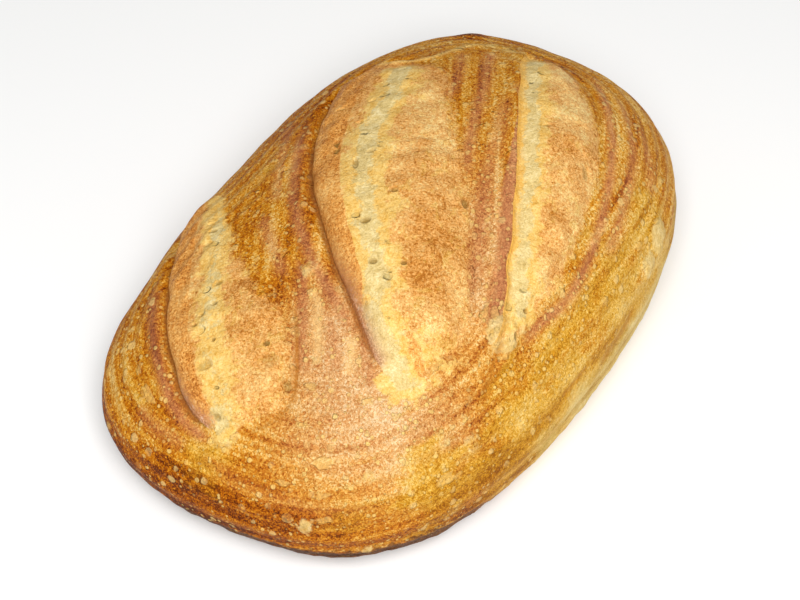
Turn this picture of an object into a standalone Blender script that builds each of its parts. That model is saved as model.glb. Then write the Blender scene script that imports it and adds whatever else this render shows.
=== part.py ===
"""Sourdough loaf, whole and uncut: one solid of bread.

Metres, +Z up. The loaf stands on its flat sole at Z = 0, with its long axis along X. Its big,
high end is at +X, and the origin is under the middle of its bounding box.

The loaf is a ball of quads that is mapped onto a low dome with an undercut wall and a flat sole.
Places on the crust are given as on a skin peeled off and laid flat: (0, 0) is the top of the dome,
and RIM_REACH times the plan's half sizes is the widest rim. Three slashes have opened into blooms:
pillows of new crust, each with a steep side where the skin tore away and a soft side where it didn't.
"""
import math

import bmesh
import bpy
import numpy as np

# Plan and height of the dome
LENGTH = 0.260
WIDTH = 0.180
HEIGHT = 0.100
CORNER_POWER = 2.65        # 2 is an ellipse, more is squarer
EGG = 0.06                 # how much wider the -Y side bulges
LEAN = -0.077              # shift of the plan along X for each metre of Y
RISE_X = 0.15              # the +X end is higher by this share, the -X end lower
RISE_Y = -0.10             # the same across the loaf
DOME_POWER = 1.07
RIM_HEIGHT = 0.036         # height of the widest rim
SOLE_SHARE = 0.80          # the sole's size as a share of the plan

# The skin laid flat, as multiples of the plan's half size
RIM_REACH = 1.32
SOLE_EDGE_REACH = 1.68
SOLE_MIDDLE_REACH = 1.88
RIM_ANGLE = math.radians(110)
SOLE_EDGE_ANGLE = math.radians(145)

# The ball of quads, how near a torn line its mesh is made finer, and which points are put on the line
BALL_CUTS = 15
FINE_REACH = (0.016, 0.006)
SNAP_REACH = 0.0016
MEETING_REACH = 0.0012
NORMAL_STEP = 0.0005
CURVE_STEPS = 40

# Each slash opened into a pillow between two lines with shared ends: the line where the skin tore
# away, which is steep, and the soft edge opposite. The pillow sinks to far_share of its height
# beyond far_start, a share of the torn line's length
SLASHES = (
    dict(
        name="short slash at the low end",
        tear=((-0.136, 0.002), (-0.132, 0.020), (-0.120, 0.036), (-0.102, 0.055), (-0.076, 0.075),
              (-0.050, 0.092), (-0.022, 0.103)),
        soft=((-0.136, 0.002), (-0.131, -0.011), (-0.121, -0.020), (-0.109, -0.024), (-0.096, -0.019),
              (-0.080, -0.007), (-0.062, 0.022), (-0.045, 0.056), (-0.024, 0.082), (-0.022, 0.103)),
        height=0.0048, far_share=0.34, far_start=0.32, tear_width=0.0105, soft_width=0.014,
        crease=0.0032, lip=0.0,
    ),
    dict(
        name="long slash over the crown",
        tear=((-0.077, -0.050), (-0.071, -0.038), (-0.058, -0.018), (-0.044, 0.002), (-0.020, 0.030),
              (0.004, 0.048), (0.033, 0.062), (0.056, 0.064), (0.073, 0.053), (0.078, 0.037)),
        soft=((-0.077, -0.050), (-0.077, -0.062), (-0.063, -0.071), (-0.042, -0.073), (-0.006, -0.050),
              (0.039, -0.017), (0.070, 0.008), (0.080, 0.025), (0.078, 0.037)),
        height=0.0062, far_share=0.48, far_start=0.30, tear_width=0.0120, soft_width=0.024,
        crease=0.0036, lip=0.0,
    ),
    dict(
        name="slash on the near side",
        tear=((-0.046, -0.081), (-0.028, -0.077), (0.003, -0.060), (0.043, -0.037), (0.074, -0.018),
              (0.105, -0.002), (0.119, -0.002)),
        soft=((-0.046, -0.081), (-0.029, -0.089), (0.005, -0.091), (0.046, -0.081), (0.085, -0.062),
              (0.112, -0.036), (0.121, -0.016), (0.119, -0.002)),
        height=0.0042, far_share=0.80, far_start=0.50, tear_width=0.0200, soft_width=0.018,
        crease=0.0, lip=0.0026,
    ),
)
FAR_RUN = 0.30             # share of a torn line's length over which the pillow sinks
CREASE_WIDTH = 0.0035
LIP_BACK = 0.007           # how far the raised lip slopes away over the old crust
LIP_FACE = 0.003           # and towards the new crust below it
END_FADE = 0.12            # share of a line's length over which its crease fades out

CRUST_COLOUR = (0.56, 0.27, 0.07, 1.0)
CRUST_ROUGHNESS = 0.62


def clear_scene():
    for item in list(bpy.data.objects):
        bpy.data.objects.remove(item, do_unlink=True)


def smooth_step(x):
    x = np.clip(x, 0.0, 1.0)
    return x * x * (3.0 - 2.0 * x)


def bulging_step(x):
    """Rises from 0 to 1 steeply at first, then levels out."""
    return np.sin(np.clip(x, 0.0, 1.0) * math.pi / 2)


def curve_through(points):
    """A smooth line through the given points, as CURVE_STEPS points for each span."""
    p = np.array(points, dtype=float)
    ends = np.vstack((2 * p[0] - p[1], p, 2 * p[-1] - p[-2]))
    t = np.linspace(0.0, 1.0, CURVE_STEPS, endpoint=False)[:, None]
    spans = []
    for a, b, c, d in zip(ends, ends[1:], ends[2:], ends[3:]):
        spans.append(0.5 * (2 * b + (c - a) * t + (2 * a - 5 * b + 4 * c - d) * t ** 2
                            + (3 * b - a - 3 * c + d) * t ** 3))
    return np.vstack(spans + [p[-1:]])


def from_line(line, x, y):
    """Distance to a line of points, the share of its length passed, and the nearest of its points."""
    squares = (x[:, None] - line[None, :, 0]) ** 2 + (y[:, None] - line[None, :, 1]) ** 2
    nearest = np.argmin(squares, axis=1)
    distance = np.sqrt(squares[np.arange(len(x)), nearest])
    return distance, nearest / (len(line) - 1), line[nearest]


def is_between(first, second, x, y):
    """Whether each place lies in the area closed by two lines with shared ends."""
    outline = np.vstack((first, second[::-1]))
    start_x, start_y = outline.T
    end_x, end_y = np.roll(outline, -1, axis=0).T
    spans_y = (start_y[None, :] > y[:, None]) != (end_y[None, :] > y[:, None])
    slope = (end_x - start_x) / np.where(end_y == start_y, 1.0, end_y - start_y)
    crossing_x = start_x + (y[:, None] - start_y) * slope
    return np.sum(spans_y & (x[:, None] < crossing_x), axis=1) % 2 == 1


def plan_radius(angle):
    """The plan's half size in one direction: a squarish, slightly egg-shaped oval."""
    c = np.cos(angle)
    s = np.sin(angle)
    across = WIDTH / 2 * (1 - EGG * s)
    bend = (np.abs(c) / (LENGTH / 2)) ** CORNER_POWER + (np.abs(s) / across) ** CORNER_POWER
    return bend ** (-1 / CORNER_POWER)


def ball_to_skin(direction):
    """The place on the flat skin for each direction from the ball's middle."""
    angle = np.arctan2(direction[:, 1], direction[:, 0])
    tilt = np.arctan2(np.hypot(direction[:, 0], direction[:, 1]), direction[:, 2])
    turn = np.clip(tilt / RIM_ANGLE, 0, 1) * math.pi / 2
    wall = np.clip((tilt - RIM_ANGLE) / (SOLE_EDGE_ANGLE - RIM_ANGLE), 0, 1)
    sole = np.clip((tilt - SOLE_EDGE_ANGLE) / (math.pi - SOLE_EDGE_ANGLE), 0, 1)
    reach = np.sin(turn) + (RIM_REACH - 1) * (1 - np.cos(turn))
    reach = reach + (SOLE_EDGE_REACH - RIM_REACH) * wall + (SOLE_MIDDLE_REACH - SOLE_EDGE_REACH) * sole
    radius = reach * plan_radius(angle)
    y = radius * np.sin(angle)
    return radius * np.cos(angle) + LEAN * y, y


def skin_to_loaf(x, y):
    """The point in space on the plain dome, wall or sole for each place on the skin."""
    straight = x - LEAN * y
    angle = np.arctan2(y, straight)
    plan = plan_radius(angle)
    reach = np.hypot(straight, y) / plan
    lift = RIM_REACH - 1
    swing = math.hypot(1, lift)
    turn = np.arcsin(np.clip((np.minimum(reach, RIM_REACH) - lift) / swing, -1, 1)) + math.atan(lift)
    turn = np.clip(turn, 0.0, math.pi / 2)
    wall = np.clip((reach - RIM_REACH) / (SOLE_EDGE_REACH - RIM_REACH), 0, 1) * math.pi / 2
    sole = np.clip((reach - SOLE_EDGE_REACH) / (SOLE_MIDDLE_REACH - SOLE_EDGE_REACH), 0, 1)
    share = np.where(reach <= RIM_REACH, np.sin(turn) ** DOME_POWER,
                     (SOLE_SHARE + (1 - SOLE_SHARE) * np.cos(wall)) * np.where(sole > 0, 1 - sole, 1.0))
    height = np.where(reach <= RIM_REACH, RIM_HEIGHT + (HEIGHT - RIM_HEIGHT) * np.cos(turn),
                      RIM_HEIGHT * (1 - np.sin(wall)))
    px = share * plan * np.cos(angle)
    py = share * plan * np.sin(angle)
    pz = height * (1 + RISE_X * px / (LENGTH / 2) + RISE_Y * py / (WIDTH / 2))
    return np.stack((px + LEAN * py, py, pz), axis=1), reach


def slash_relief(slash, x, y):
    """How far one slash pushes the crust out or in: its pillow, and the crease or lip beside it."""
    tear_line = curve_through(slash["tear"])
    soft_line = curve_through(slash["soft"])
    torn, along, _ = from_line(tear_line, x, y)
    soft, _, _ = from_line(soft_line, x, y)
    inside = is_between(tear_line, soft_line, x, y)
    pillow = bulging_step(torn / slash["tear_width"]) * smooth_step(soft / slash["soft_width"])
    far = smooth_step((along - slash["far_start"]) / FAR_RUN)
    height = slash["height"] * (1 - (1 - slash["far_share"]) * far)
    fade = smooth_step(along / END_FADE) * smooth_step((1 - along) / END_FADE)
    crease = slash["crease"] * np.exp(-(torn / CREASE_WIDTH) ** 2)
    lip = slash["lip"] * np.exp(-(torn / np.where(inside, LIP_FACE, LIP_BACK)) ** 2)
    return np.where(inside, height * pillow, 0.0) + fade * (lip - crease)


def refine(ball, reach):
    """Splits the quads whose middle lies within reach of a torn line."""
    middles = np.array([face.calc_center_median() for face in ball.faces])
    x, y = ball_to_skin(middles)
    near = np.zeros(len(x), dtype=bool)
    for slash in SLASHES:
        torn, _, _ = from_line(curve_through(slash["tear"]), x, y)
        near |= torn < reach
    edges = {edge for face, chosen in zip(ball.faces, near) if chosen for edge in face.edges}
    bmesh.ops.subdivide_edges(ball, edges=list(edges), cuts=1, use_grid_fill=True)


def snap_to_tears(x, y):
    """Moves places next to a torn line onto it, so that a row of edges follows the line.

    Of places that would come too close to each other on the line, only the nearest one moves.
    """
    for slash in SLASHES:
        torn, _, nearest = from_line(curve_through(slash["tear"]), x, y)
        taken = []
        for i in np.argsort(torn):
            if torn[i] > SNAP_REACH:
                break
            if all(math.dist(nearest[i], other) > MEETING_REACH for other in taken):
                taken.append(nearest[i])
                x[i], y[i] = nearest[i]
    return x, y


def outward_normals(x, y):
    """The plain form's normals at places on the skin, from two short steps along it."""
    here, _ = skin_to_loaf(x, y)
    along, _ = skin_to_loaf(x + NORMAL_STEP, y)
    across, _ = skin_to_loaf(x, y + NORMAL_STEP)
    normals = np.cross(along - here, across - here)
    return normals / np.maximum(np.linalg.norm(normals, axis=1, keepdims=True), 1e-12)


def ball_of_quads():
    """A cube of even quads as seen from its middle, finer next to the torn lines."""
    ball = bmesh.new()
    bmesh.ops.create_cube(ball, size=2.0)
    bmesh.ops.subdivide_edges(ball, edges=ball.edges[:], cuts=BALL_CUTS, use_grid_fill=True)
    for vert in ball.verts:
        vert.co = [math.tan(math.pi / 4 * part) for part in vert.co]
    for reach in FINE_REACH:
        refine(ball, reach)
    return ball


def make_loaf():
    ball = ball_of_quads()
    x, y = snap_to_tears(*ball_to_skin(np.array([vert.co for vert in ball.verts])))
    points, reach = skin_to_loaf(x, y)
    relief = sum(slash_relief(slash, x, y) for slash in SLASHES)
    relief = relief * (1 - smooth_step((reach - RIM_REACH) / (SOLE_EDGE_REACH - RIM_REACH)))
    points = points + outward_normals(x, y) * relief[:, None]
    low = points.min(axis=0)
    high = points.max(axis=0)
    points = points - ((low[0] + high[0]) / 2, (low[1] + high[1]) / 2, low[2])
    for vert, point in zip(ball.verts, points):
        vert.co = point
    bmesh.ops.triangulate(ball, faces=ball.faces[:])
    bmesh.ops.recalc_face_normals(ball, faces=ball.faces[:])
    mesh = bpy.data.meshes.new("loaf")
    ball.to_mesh(mesh)
    ball.free()
    mesh.shade_smooth()
    return bpy.data.objects.new("loaf", mesh)


def make_crust_material():
    crust = bpy.data.materials.new("baked_crust")
    crust.use_nodes = True
    shader = crust.node_tree.nodes["Principled BSDF"]
    shader.inputs["Base Color"].default_value = CRUST_COLOUR
    shader.inputs["Roughness"].default_value = CRUST_ROUGHNESS
    return crust


def build():
    clear_scene()
    collection = bpy.data.collections.new("sourdough_loaf")
    bpy.context.scene.collection.children.link(collection)
    loaf = make_loaf()
    loaf.data.materials.append(make_crust_material())
    collection.objects.link(loaf)


build()
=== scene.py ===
"""Sourdough loaf, whole and uncut, standing on a pale table under soft studio light."""

import math

import bpy
import numpy as np
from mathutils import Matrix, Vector, noise


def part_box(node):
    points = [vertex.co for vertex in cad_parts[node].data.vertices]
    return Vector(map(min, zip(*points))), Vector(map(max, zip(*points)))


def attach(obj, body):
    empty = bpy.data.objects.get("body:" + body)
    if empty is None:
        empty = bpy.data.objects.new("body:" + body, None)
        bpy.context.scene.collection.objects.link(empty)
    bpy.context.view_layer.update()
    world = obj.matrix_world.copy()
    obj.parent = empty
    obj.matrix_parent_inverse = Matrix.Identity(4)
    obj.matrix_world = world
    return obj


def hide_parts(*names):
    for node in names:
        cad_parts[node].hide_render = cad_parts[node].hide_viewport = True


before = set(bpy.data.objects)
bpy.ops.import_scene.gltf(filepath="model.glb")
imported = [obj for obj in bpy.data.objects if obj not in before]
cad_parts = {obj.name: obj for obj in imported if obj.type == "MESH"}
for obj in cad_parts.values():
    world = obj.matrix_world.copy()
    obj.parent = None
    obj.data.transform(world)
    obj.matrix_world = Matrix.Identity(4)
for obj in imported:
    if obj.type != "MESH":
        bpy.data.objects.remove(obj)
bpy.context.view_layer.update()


# --------------------------------------
# The loaf's form
# A free-standing loaf of wheat and rye dough, proofed in an oval basket of cane rings, turned out
# and baked on a hot stone: a low dome, higher at one end, with an undercut wall and a flat sole.
# Places on it are given as on a skin peeled off and laid flat, in metres: (0, 0) is the dome's top.

loaf_low, loaf_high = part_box("loaf")
HALF_LENGTH = (loaf_high[0] - loaf_low[0]) / 2
HALF_WIDTH = (loaf_high[1] - loaf_low[1]) / 2
DOME_SHARE = 0.938       # of the height, because the long slash's bloom stands above the dome
DOME_HEIGHT = DOME_SHARE * (loaf_high[2] - loaf_low[2])
RIM_HEIGHT = 0.36 * DOME_HEIGHT    # height of the widest place
CORNER_POWER = 2.65      # 2 is an ellipse, more is squarer
EGG = 0.06               # how much wider the -Y side bulges
LEAN = -0.077            # shift of the plan along X for each metre of Y
RISE_X = 0.15            # the +X end is higher by this share, the -X end lower
RISE_Y = -0.10           # and the +Y side lower by this
DOME_POWER = 1.07        # more than 1 makes the crown a little more pointed
SOLE_SHARE = 0.80        # the sole's size as a share of the plan
RIM_REACH = 1.32         # the widest rim on the flat skin, as a multiple of the plan
SOLE_EDGE_REACH = 1.68   # and the sole's edge
SOLE_MIDDLE_REACH = 1.88
RIM_ANGLE = math.radians(110)          # where the rim is on the ball that the loaf is made from
SOLE_EDGE_ANGLE = math.radians(145)    # and the sole's edge
NORMAL_STEP = 0.0005     # short step along the skin that the normals are worked out from


def smooth_step(x):
    x = np.clip(x, 0.0, 1.0)
    return x * x * (3.0 - 2.0 * x)


def plan_radius(angle):
    """The plan's half size in one direction: a squarish, slightly egg-shaped oval."""
    c = np.abs(np.cos(angle)) / HALF_LENGTH
    s = np.abs(np.sin(angle)) / (HALF_WIDTH * (1 - EGG * np.sin(angle)))
    return (c ** CORNER_POWER + s ** CORNER_POWER) ** (-1 / CORNER_POWER)


def tilt_of(direction):
    return np.arctan2(np.hypot(direction[:, 0], direction[:, 1]), direction[:, 2])


def ball_to_skin(direction):
    """The place on the flat skin for each direction from the ball's middle."""
    angle = np.arctan2(direction[:, 1], direction[:, 0])
    tilt = tilt_of(direction)
    turn = np.clip(tilt / RIM_ANGLE, 0, 1) * math.pi / 2
    wall = np.clip((tilt - RIM_ANGLE) / (SOLE_EDGE_ANGLE - RIM_ANGLE), 0, 1)
    sole = np.clip((tilt - SOLE_EDGE_ANGLE) / (math.pi - SOLE_EDGE_ANGLE), 0, 1)
    reach = np.sin(turn) + (RIM_REACH - 1) * (1 - np.cos(turn))
    reach = reach + (SOLE_EDGE_REACH - RIM_REACH) * wall + (SOLE_MIDDLE_REACH - SOLE_EDGE_REACH) * sole
    radius = reach * plan_radius(angle)
    y = radius * np.sin(angle)
    return radius * np.cos(angle) + LEAN * y, y


def skin_polar(x, y):
    """Direction, plan radius there, and reach as a multiple of it."""
    straight = x - LEAN * y
    angle = np.arctan2(y, straight)
    plan = plan_radius(angle)
    return angle, plan, np.hypot(straight, y) / plan


def skin_to_loaf(x, y):
    """The point in space on the plain dome, wall or sole for each place on the skin."""
    angle, plan, reach = skin_polar(x, y)
    lift = RIM_REACH - 1
    swing = math.hypot(1, lift)
    turn = np.arcsin(np.clip((np.minimum(reach, RIM_REACH) - lift) / swing, -1, 1)) + math.atan(lift)
    turn = np.clip(turn, 0.0, math.pi / 2)
    wall = np.clip((reach - RIM_REACH) / (SOLE_EDGE_REACH - RIM_REACH), 0, 1) * math.pi / 2
    sole = np.clip((reach - SOLE_EDGE_REACH) / (SOLE_MIDDLE_REACH - SOLE_EDGE_REACH), 0, 1)
    share = np.where(reach <= RIM_REACH, np.sin(turn) ** DOME_POWER,
                     (SOLE_SHARE + (1 - SOLE_SHARE) * np.cos(wall)) * np.where(sole > 0, 1 - sole, 1.0))
    height = np.where(reach <= RIM_REACH, RIM_HEIGHT + (DOME_HEIGHT - RIM_HEIGHT) * np.cos(turn),
                      RIM_HEIGHT * (1 - np.sin(wall)))
    px = share * plan * np.cos(angle)
    py = share * plan * np.sin(angle)
    pz = height * (1 + RISE_X * px / HALF_LENGTH + RISE_Y * py / HALF_WIDTH)
    return np.stack((px + LEAN * py, py, pz), axis=1)


def outward_normals(x, y):
    """The plain form's normals at places on the skin, from two short steps along it."""
    here = skin_to_loaf(x, y)
    normals = np.cross(skin_to_loaf(x + NORMAL_STEP, y) - here, skin_to_loaf(x, y + NORMAL_STEP) - here)
    return normals / np.maximum(np.linalg.norm(normals, axis=1, keepdims=True), 1e-12)


# --------------------------------------
# The three slashes
# Each cut has opened in the oven into a bloom, a pillow of crumb that pushed out and set. On one
# side the old skin tore away: there the bloom is a steep roll, or the skin stands up as a lip.
# Opposite it runs into the old crust. Along the bloom lies a pale band that opened last.

CURVE_STEPS = 10         # straight pieces for each span of a smooth line
STRAY = 0.0011           # how far the torn edges stray from smooth lines
STRAY_SIZE = 0.013       # and over what length
SLASHES = (
    dict(    # the short slash at the low end
        tear=((-0.136, 0.002), (-0.132, 0.020), (-0.120, 0.036), (-0.102, 0.055), (-0.076, 0.075),
              (-0.050, 0.092), (-0.022, 0.103)),
        soft=((-0.136, 0.002), (-0.131, -0.011), (-0.121, -0.020), (-0.109, -0.024), (-0.096, -0.019),
              (-0.080, -0.007), (-0.062, 0.022), (-0.045, 0.056), (-0.024, 0.082), (-0.022, 0.103)),
        pale=((-0.132, 0.000), (-0.121, 0.004), (-0.112, 0.013), (-0.096, 0.027), (-0.078, 0.041),
              (-0.052, 0.060), (-0.030, 0.077)),
        height=0.0048, far_share=0.34, far_start=0.32, tear_width=0.0105, soft_width=0.014,
        crease=0.0032, crease_width=0.0028, lip=0.0, overhang=0.0006,
        pale_width=0.0066, pale_share=0.74, tip_flare=0.2,
    ),
    dict(    # the long slash over the crown
        tear=((-0.077, -0.050), (-0.071, -0.038), (-0.058, -0.018), (-0.044, 0.002), (-0.020, 0.030),
              (0.004, 0.048), (0.033, 0.062), (0.056, 0.064), (0.073, 0.053), (0.078, 0.037)),
        soft=((-0.077, -0.050), (-0.077, -0.062), (-0.063, -0.071), (-0.042, -0.073), (-0.006, -0.050),
              (0.039, -0.017), (0.070, 0.008), (0.080, 0.025), (0.078, 0.037)),
        pale=((-0.079, -0.058), (-0.071, -0.047), (-0.064, -0.037), (-0.056, -0.030), (-0.044, -0.024),
              (-0.030, -0.010), (-0.017, 0.003), (-0.004, 0.012), (0.012, 0.020), (0.028, 0.026),
              (0.044, 0.030), (0.060, 0.037)),
        height=0.0062, far_share=0.48, far_start=0.30, tear_width=0.0120, soft_width=0.024,
        crease=0.0036, crease_width=0.0028, lip=0.0, overhang=0.0010,
        pale_width=0.0066, pale_share=1.0, tip_flare=1.1,
    ),
    dict(    # the slash on the near side
        tear=((-0.046, -0.081), (-0.028, -0.077), (0.003, -0.060), (0.043, -0.037), (0.074, -0.018),
              (0.105, -0.002), (0.119, -0.002)),
        soft=((-0.046, -0.081), (-0.029, -0.089), (0.005, -0.091), (0.046, -0.081), (0.085, -0.062),
              (0.112, -0.036), (0.121, -0.016), (0.119, -0.002)),
        pale=((-0.017, -0.079), (0.006, -0.065), (0.046, -0.042), (0.078, -0.023), (0.104, -0.008)),
        height=0.0042, far_share=0.8, far_start=0.5, tear_width=0.020, soft_width=0.018,
        crease=0.0012, crease_width=0.0020, lip=0.0026, overhang=-0.0016,
        pale_width=0.0050, pale_share=1.0, tip_flare=0.3,
    ),
)
LOW_START = 0.18         # share of a slash within which its low end has a sloping, browned face
LOW_RUN = 0.20           # and over which the face turns into an overhanging roll
FAR_RUN = 0.30           # share of a slash over which its bloom sinks to its far height
LIP_BACK = 0.007         # how far the raised lip slopes away over the old crust
LIP_FACE = 0.0016        # and towards the bloom below it
END_FADE = 0.12          # share of a line's length over which crease, lip and roll fade out
GATHER_REACH = 0.006     # within this distance the mesh is drawn towards a torn line
GATHER_POWER = 1.55
ROLL_PEAK = 0.0026       # distance from a torn line at which the roll leans out furthest
SLASH_MARGIN = 0.020     # nothing of a slash is felt further out than this
SOFT_BLEND = 0.011       # distance over which a bloom's colour runs into the old crust
CREASE_SHADE = 0.0012    # width of the dark line in a crease, on the bloom, browner crust and painted shade
CREASE_SHADOW = 0.0019   # and on the old crust, where it is painted shadow of the roll as well
FACE_SHADE = 0.0046      # width of the browned steep face beside a crease
ROLL_SHARE = 0.66        # share of the way from the torn line to the pale band that the roll takes
ROLL_BLEND = 0.16        # share of that way over which the roll's colour fades
ROLL_REACH = 0.022       # and the roll's greatest width
ROLL_FADE = 0.008        # with the distance over which it narrows to that
LOW_CREASE = 0.5         # how much shallower a crease is at the low end
LIP_SHADE = 0.0024       # width of the yellow line under a raised lip
TIP_RUN = 0.22           # share of the pale band over which it flares towards its low end
TIP_SPILL = 0.006        # how far its flare spills over the old crust
TIP_FADE = 0.05          # share of a slash over which its browned face begins
LUMP_SIZE = 0.0075
LUMP_HEIGHT = 0.0009     # how uneven the blooms are


def curve_through(points):
    """A smooth line through the given points, as CURVE_STEPS points for each span."""
    p = np.array(points, dtype=float)
    ends = np.vstack((2 * p[0] - p[1], p, 2 * p[-1] - p[-2]))
    t = np.linspace(0.0, 1.0, CURVE_STEPS, endpoint=False)[:, None]
    spans = []
    for a, b, c, d in zip(ends, ends[1:], ends[2:], ends[3:]):
        spans.append(0.5 * (2 * b + (c - a) * t + (2 * a - 5 * b + 4 * c - d) * t ** 2
                            + (3 * b - a - 3 * c + d) * t ** 3))
    return np.vstack(spans + [p[-1:]])


def from_line(line, x, y):
    """Distance to a line, share of its length passed, the nearest place on it and the way along it."""
    best = np.full(len(x), np.inf)
    share = np.zeros(len(x))
    near_x = np.zeros(len(x))
    near_y = np.zeros(len(x))
    way = np.zeros(len(x), dtype=int)
    runs = line[1:] - line[:-1]
    for i, (start, run) in enumerate(zip(line, runs)):
        t = np.clip(((x - start[0]) * run[0] + (y - start[1]) * run[1]) / run.dot(run), 0.0, 1.0)
        place_x = start[0] + t * run[0]
        place_y = start[1] + t * run[1]
        gap = (x - place_x) ** 2 + (y - place_y) ** 2
        closer = gap < best
        best = np.where(closer, gap, best)
        share = np.where(closer, (i + t) / len(runs), share)
        near_x = np.where(closer, place_x, near_x)
        near_y = np.where(closer, place_y, near_y)
        way = np.where(closer, i, way)
    return np.sqrt(best), share, near_x, near_y, runs[way] / np.linalg.norm(runs[way], axis=1, keepdims=True)


def is_between(first, second, x, y):
    """Whether each place lies in the area closed by two lines with shared ends."""
    outline = np.vstack((first, second[::-1]))
    inside = np.zeros(len(x), dtype=bool)
    for (start_x, start_y), (end_x, end_y) in zip(outline, np.roll(outline, -1, axis=0)):
        if start_y == end_y:
            continue
        crossing_x = start_x + (y - start_y) * (end_x - start_x) / (end_y - start_y)
        inside ^= ((start_y > y) != (end_y > y)) & (x < crossing_x)
    return inside


def is_near(line, x, y, margin):
    """Whether each place lies in the upright box around a line, with a margin."""
    low = line.min(axis=0) - margin
    high = line.max(axis=0) + margin
    return (x > low[0]) & (x < high[0]) & (y > low[1]) & (y < high[1])


def wander(line):
    """Lets a line stray a little, the same way for all lines that pass one place."""
    stray = [(noise.noise(Vector((x, y, 0.0)) / STRAY_SIZE), noise.noise(Vector((x, y, 1.0)) / STRAY_SIZE))
             for x, y in line]
    return line + STRAY * np.array(stray)


for slash in SLASHES:
    for side in ("tear", "soft", "pale"):
        slash[side] = wander(curve_through(slash[side]))


def gather_to_tears(x, y):
    """Draws the places near each torn line towards it, so that its steep side has enough faces."""
    for slash in SLASHES:
        some = np.flatnonzero(is_near(slash["tear"], x, y, GATHER_REACH))
        gap, _, near_x, near_y, _ = from_line(slash["tear"], x[some], y[some])
        pull = np.clip(gap / GATHER_REACH, 1e-6, 1.0) ** (GATHER_POWER - 1)
        x[some] = near_x + (x[some] - near_x) * pull
        y[some] = near_y + (y[some] - near_y) * pull
    return x, y


def open_slash(slash, x, y):
    """How far one slash moves the crust out and sideways at each place, and its masks."""
    torn, along, _, _, way = from_line(slash["tear"], x, y)
    soft = from_line(slash["soft"], x, y)[0]
    pale_gap, pale_along, _, _, _ = from_line(slash["pale"], x, y)
    inside = is_between(slash["tear"], slash["soft"], x, y)
    fade = smooth_step(along / END_FADE) * smooth_step((1 - along) / END_FADE)
    far = smooth_step((along - slash["far_start"]) / FAR_RUN)
    low = 1 - smooth_step((along - LOW_START) / LOW_RUN)
    height = slash["height"] * (1 - (1 - slash["far_share"]) * far)
    rise = np.sin(np.clip(torn / slash["tear_width"], 0, 1) * math.pi / 2)
    pillow = height * rise * smooth_step(soft / slash["soft_width"])
    crease = np.exp(-(torn / slash["crease_width"]) ** 2)
    lip = np.exp(-(torn / np.where(inside, LIP_FACE, LIP_BACK)) ** 2)
    crease *= 1 - LOW_CREASE * low
    out = np.where(inside, pillow, 0.0) + fade * (slash["lip"] * lip - slash["crease"] * crease)
    roll = torn / ROLL_PEAK * np.exp(1 - torn / ROLL_PEAK)
    aside = slash["overhang"] * fade * (1 - low) * np.where(inside == (slash["overhang"] > 0), roll, 0.0)
    low_end = 1 - smooth_step(pale_along / TIP_RUN)
    spill = np.where(torn < soft, 0.0, low_end * np.exp(-soft / TIP_SPILL))
    is_roll = slash["lip"] == 0
    face = np.where(inside, np.exp(-(torn / FACE_SHADE) ** 2), 0.0)
    on_roll = smooth_step((ROLL_SHARE - torn / (torn + pale_gap)) / ROLL_BLEND)
    masks = dict(
        bloom=np.where(inside, smooth_step(soft / (SOFT_BLEND * (1 + far))), 0.0),
        pale=slash["pale_share"] * np.where(inside, np.maximum(smooth_step(soft / TIP_SPILL), low_end), spill)
        / (1 + (pale_gap / (slash["pale_width"] * (1 + slash["tip_flare"] * low_end))) ** 2),
        crease=fade * np.exp(-(torn / np.where(inside, CREASE_SHADE, CREASE_SHADOW)) ** 2) * is_roll,
        face=smooth_step(along / TIP_FADE) * low * face * is_roll,
        roll=np.where(inside, on_roll * smooth_step((ROLL_REACH - torn) / ROLL_FADE), 0.0) * is_roll,
        lip=fade * np.where(inside, np.exp(-(torn / LIP_SHADE) ** 2), 0.0) * (not is_roll),
    )
    return out, -way[:, 1] * aside, way[:, 0] * aside, masks


# --------------------------------------
# The old crust's relief and baking
# The cane rings of the basket leave low ridges and streaks that follow the rim. The skin is
# blistered by gas, has pits where bubbles burst, and is darkest where it touched the hot stone.

RING_STEP = 0.0095       # from one cane ring's ridge to the next
RING_HEIGHT = 0.00030
RING_REACH = 0.085       # the ridges end this far in from the rim
RING_FADE = 0.030
CRUST_LUMPS = ((0.040, 0.0004), (0.012, 0.0003), (0.0060, 0.0001))     # size and height
FOOT_LUMPS = ((0.0045, 0.0007), (0.0110, 0.0003))
FOOT_TOP = 1.34          # reach at which the foot's roughness begins
FOOT_RUN = 0.14
FOOT_BOTTOM = 1.74       # and at which it ends, on the sole
FOOT_END = 0.10
BLISTER_EDGE = 1.5       # a blister ends at this many radii
BLISTER_SLOPE = 0.8      # and its side slopes over this many
BLISTER_HEIGHT = 0.0012  # a blister of this height counts as fully risen
SEAM_HEIGHT = 0.0006     # and a fold of this height
SWELLS = (               # place, radius and height of broad swells and dents of the hand-shaped dough
    (0.140, -0.075, 0.045, -0.0013), (0.100, 0.072, 0.035, -0.0012),
    (-0.080, 0.100, 0.024, -0.0020), (-0.180, 0.042, 0.035, -0.0014),
    (-0.186, -0.036, 0.035, -0.0018), (-0.125, -0.115, 0.030, 0.0007),
    (0.072, -0.130, 0.035, -0.0007), (0.120, 0.037, 0.007, 0.0012),
)
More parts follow.
